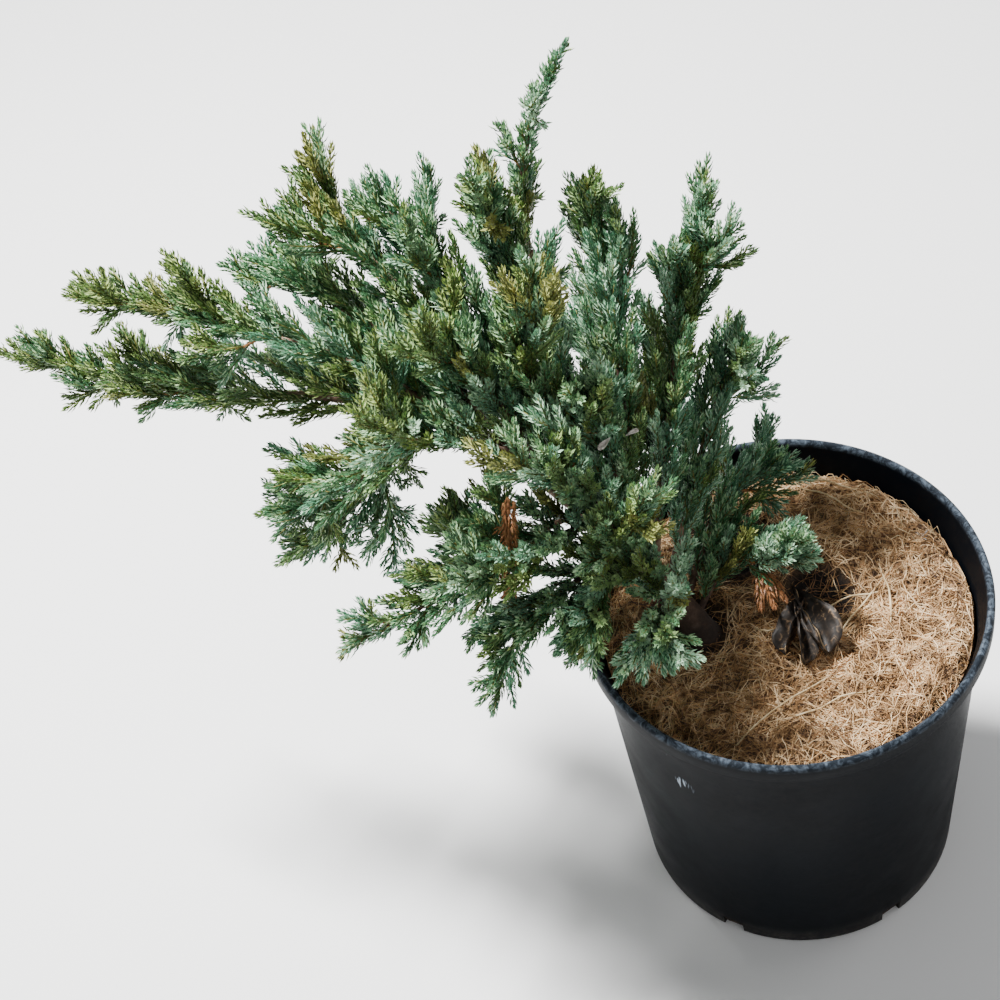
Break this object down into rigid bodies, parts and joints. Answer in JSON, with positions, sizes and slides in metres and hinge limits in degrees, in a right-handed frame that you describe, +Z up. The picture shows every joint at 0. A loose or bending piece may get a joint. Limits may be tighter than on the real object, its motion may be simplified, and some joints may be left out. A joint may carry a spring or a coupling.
{
  "type": "potted juniper",
  "caption": "Low spreading juniper with blue-green needle sprays, leaning out of a round black nursery pot with a coir mat on its compost.",
  "frame": {"origin": "centre of the pot's flat underside", "axes": "+Z up out of the pot; the crown leans and spreads towards -X; the picture's camera looks along +Y and down"},
  "size_m": [0.5225, 0.2976, 0.52],
  "materials": {
    "pot_plastic": "dusty satin",
    "compost": "crumbly",
    "coir": "fibrous",
    "bark": "rough",
    "foliage": "needles"
  },
  "bodies": {
    "root": {"pot": "pot_plastic", "root_ball": "compost", "coir_mat": "coir", "trunk": "bark", "bough_left_long": "bark", "bough_left_upper": "bark", "bough_left_inner": "bark", "bough_upper_left": "bark", "bough_upper_mid": "bark", "bough_top_left": "bark", "bough_spike": "bark", "bough_top_right": "bark", "bough_right_top": "bark", "bough_right_mid": "bark", "bough_right_low": "bark", "bough_pot_right": "bark", "bough_front_low": "bark", "bough_front_left": "bark", "bough_low_left": "bark", "bough_droop": "bark", "bough_centre_top": "bark", "bough_centre_left": "bark", "bough_centre": "bark", "bough_centre_front": "bark", "bough_centre_low": "bark", "bough_front_mid": "bark", "bough_centre_face": "bark", "bough_centre_high": "bark", "bough_left_mid": "bark", "bough_back_low": "bark", "bough_back_right": "bark", "bough_back_left": "bark", "foliage_left_long": "foliage", "foliage_left_upper": "foliage", "foliage_left_inner": "foliage", "foliage_upper_left": "foliage", "foliage_upper_mid": "foliage", "foliage_top_left": "foliage", "foliage_spike": "foliage", "foliage_top_right": "foliage", "foliage_right_top": "foliage", "foliage_right_mid": "foliage", "foliage_right_low": "foliage", "foliage_pot_right": "foliage", "foliage_front_low": "foliage", "foliage_front_left": "foliage", "foliage_low_left": "foliage", "foliage_droop": "foliage", "foliage_centre_top": "foliage", "foliage_centre_left": "foliage", "foliage_centre": "foliage", "foliage_centre_front": "foliage", "foliage_centre_low": "foliage", "foliage_front_mid": "foliage", "foliage_centre_face": "foliage", "foliage_centre_high": "foliage", "foliage_left_mid": "foliage", "foliage_back_low": "foliage", "foliage_back_right": "foliage", "foliage_back_left": "foliage"}
  },
  "joints": []
}
